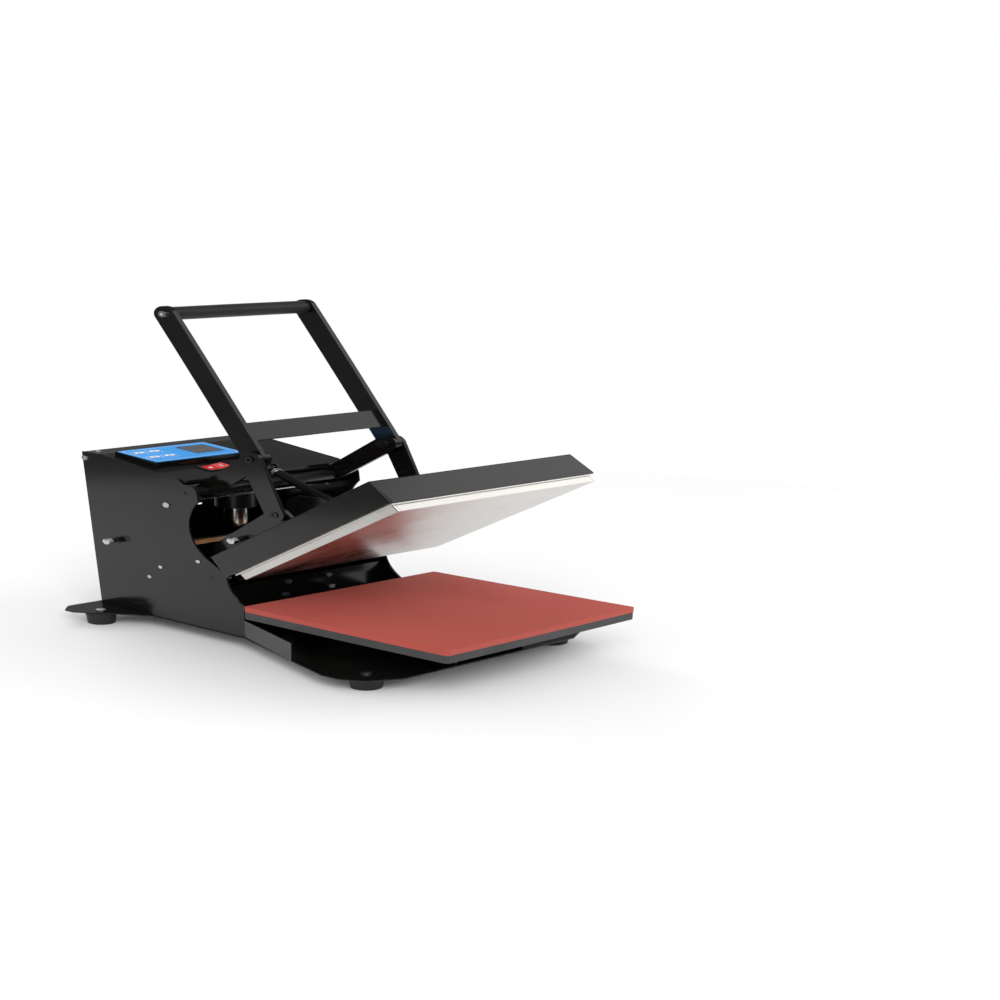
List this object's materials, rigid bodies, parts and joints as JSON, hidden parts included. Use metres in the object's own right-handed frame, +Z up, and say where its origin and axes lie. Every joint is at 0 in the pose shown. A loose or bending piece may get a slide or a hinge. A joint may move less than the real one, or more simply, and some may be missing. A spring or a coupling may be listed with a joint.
{
  "type": "clamshell heat press",
  "caption": "Clamshell heat press standing open: square heated platen on a hinged carriage, toggle lever with cross grip, padded lower platen on a sheet-metal frame",
  "frame": {"origin": "bottom centre of the bounding box of the whole press, standing open on its feet", "axes": "+Z up, -Y towards the operator, +X to the right as the front is seen from behind the lower platen; the platen hinge runs along X"},
  "size_m": [0.47, 0.77, 0.907],
  "materials": {
    "black_powder_coat": "semi-gloss black powder coat",
    "zinc_steel": "bright zinc plate",
    "yellow_zinc": "yellow zinc plate",
    "black_oxide": "blackened steel",
    "steel": "turned steel",
    "chrome": "polished chrome",
    "aluminium": "machined and brushed",
    "cast_aluminium": "cast, dark grey",
    "silicone": "brick-red silicone sponge",
    "rubber": "matt black rubber",
    "coil_cover": "matt black",
    "blue_film": "sky-blue printed film",
    "display": "grey display glass",
    "button_film": "blue film over a dome",
    "board": "green circuit board",
    "black_plastic": "moulded black plastic",
    "red_plastic": "translucent red",
    "insulation": "woven ceramic board",
    "grip": "fine black foam rubber"
  },
  "bodies": {
    "frame": {"base_plate": "black_powder_coat", "side_plate_left": "black_powder_coat", "side_plate_right": "black_powder_coat", "rear_cover": "black_powder_coat", "top_cover": "black_powder_coat", "cross_plate": "black_powder_coat", "front_beam": "black_powder_coat", "stop_bar": "yellow_zinc", "magnet_core": "chrome", "magnet_coil": "coil_cover", "magnet_hanger": "zinc_steel", "hinge_shaft": "black_oxide", "lever_shaft": "black_oxide", "shaft_collars": "black_oxide", "torsion_springs": "steel", "lower_platen": "cast_aluminium", "silicone_mat": "silicone", "lower_support": "black_powder_coat", "rubber_feet": "rubber", "foot_screws": "zinc_steel", "frame_screws": "zinc_steel", "frame_bolts": "zinc_steel", "control_case": "black_powder_coat", "control_faceplate": "blue_film", "display_window": "display", "control_board": "board", "rocker_bezel": "black_plastic", "power_inlet": "black_plastic", "fuse_holder": "black_plastic", "relay": "black_plastic"},
    "carriage": {"platen_housing": "black_powder_coat", "heat_platen": "aluminium", "heating_element": "steel", "insulation_board": "insulation", "carrier_arm_left": "black_powder_coat", "carrier_arm_right": "black_powder_coat", "hinge_tube": "black_powder_coat", "armature_plate": "zinc_steel", "damper_rib": "black_powder_coat", "carriage_bolts": "zinc_steel"},
    "lever": {"lever_plate_left": "black_powder_coat", "lever_plate_right": "black_powder_coat", "handle_arm_left": "black_powder_coat", "handle_arm_right": "black_powder_coat", "crossbar": "black_powder_coat", "joint_bolts": "black_oxide", "grip_rod": "steel", "grip_sleeve": "grip", "grip_screws": "zinc_steel"},
    "toggle_links": {"toggle_link_left": "black_powder_coat", "toggle_link_right": "black_powder_coat", "toggle_pins": "black_oxide"},
    "damper_tube": {"damper_cylinder": "black_powder_coat"},
    "damper_piston": {"damper_rod": "chrome"},
    "rocker_body": {"rocker": "red_plastic"},
    "button_1_body": {"button_1": "button_film"},
    "button_2_body": {"button_2": "button_film"},
    "button_3_body": {"button_3": "button_film"},
    "button_4_body": {"button_4": "button_film"}
  },
  "joints": [
    {"name": "handle_pivot", "type": "hinge", "parent": "frame", "child": "lever", "pos_m": [0, 0.145, 0.418], "axis": [1, 0, 0], "range_deg": [0, 71.18], "stiffness_Nm_per_rad": 55, "springref_deg": -24.69},
    {"name": "platen_hinge", "type": "hinge", "parent": "frame", "child": "carriage", "pos_m": [0, 0.093, 0.193], "axis": [1, 0, 0], "range_deg": [0, 41]},
    {"name": "toggle_pivot", "type": "hinge", "parent": "lever", "child": "toggle_links", "pos_m": [0, 0.0305, 0.526], "axis": [1, 0, 0], "range_deg": [-111.19, 0]},
    {"name": "damper_pivot", "type": "hinge", "parent": "frame", "child": "damper_tube", "pos_m": [-0.0115, 0.135, 0.462], "axis": [1, 0, 0], "range_deg": [0, 12.2]},
    {"name": "damper_slide", "type": "slide", "parent": "damper_tube", "child": "damper_piston", "axis": [0, -0.8781, -0.4784], "range_m": [0, 0.14272]},
    {"name": "power_rocker", "type": "hinge", "parent": "frame", "child": "rocker_body", "pos_m": [-0.058, 0.198, 0.45955], "axis": [0, 0.9782, 0.2078], "range_deg": [0, 16]},
    {"name": "button_1_press", "type": "slide", "parent": "frame", "child": "button_1_body", "axis": [0, 0.1426, -0.9898], "range_m": [0, 0.0008], "stiffness_N_per_m": 200},
    {"name": "button_2_press", "type": "slide", "parent": "frame", "child": "button_2_body", "axis": [0, 0.1426, -0.9898], "range_m": [0, 0.0008], "stiffness_N_per_m": 200},
    {"name": "button_3_press", "type": "slide", "parent": "frame", "child": "button_3_body", "axis": [0, 0.1426, -0.9898], "range_m": [0, 0.0008], "stiffness_N_per_m": 200},
    {"name": "button_4_press", "type": "slide", "parent": "frame", "child": "button_4_body", "axis": [0, 0.1426, -0.9898], "range_m": [0, 0.0008], "stiffness_N_per_m": 200}
  ],
  "couplings": [
    {"joint": "platen_hinge", "follows": "handle_pivot", "ratio": 0.576},
    {"joint": "toggle_pivot", "follows": "handle_pivot", "ratio": -1.562},
    {"joint": "damper_pivot", "follows": "handle_pivot", "ratio": 0.17121},
    {"joint": "damper_slide", "follows": "handle_pivot", "m_per_rad": 0.11487}
  ]
}
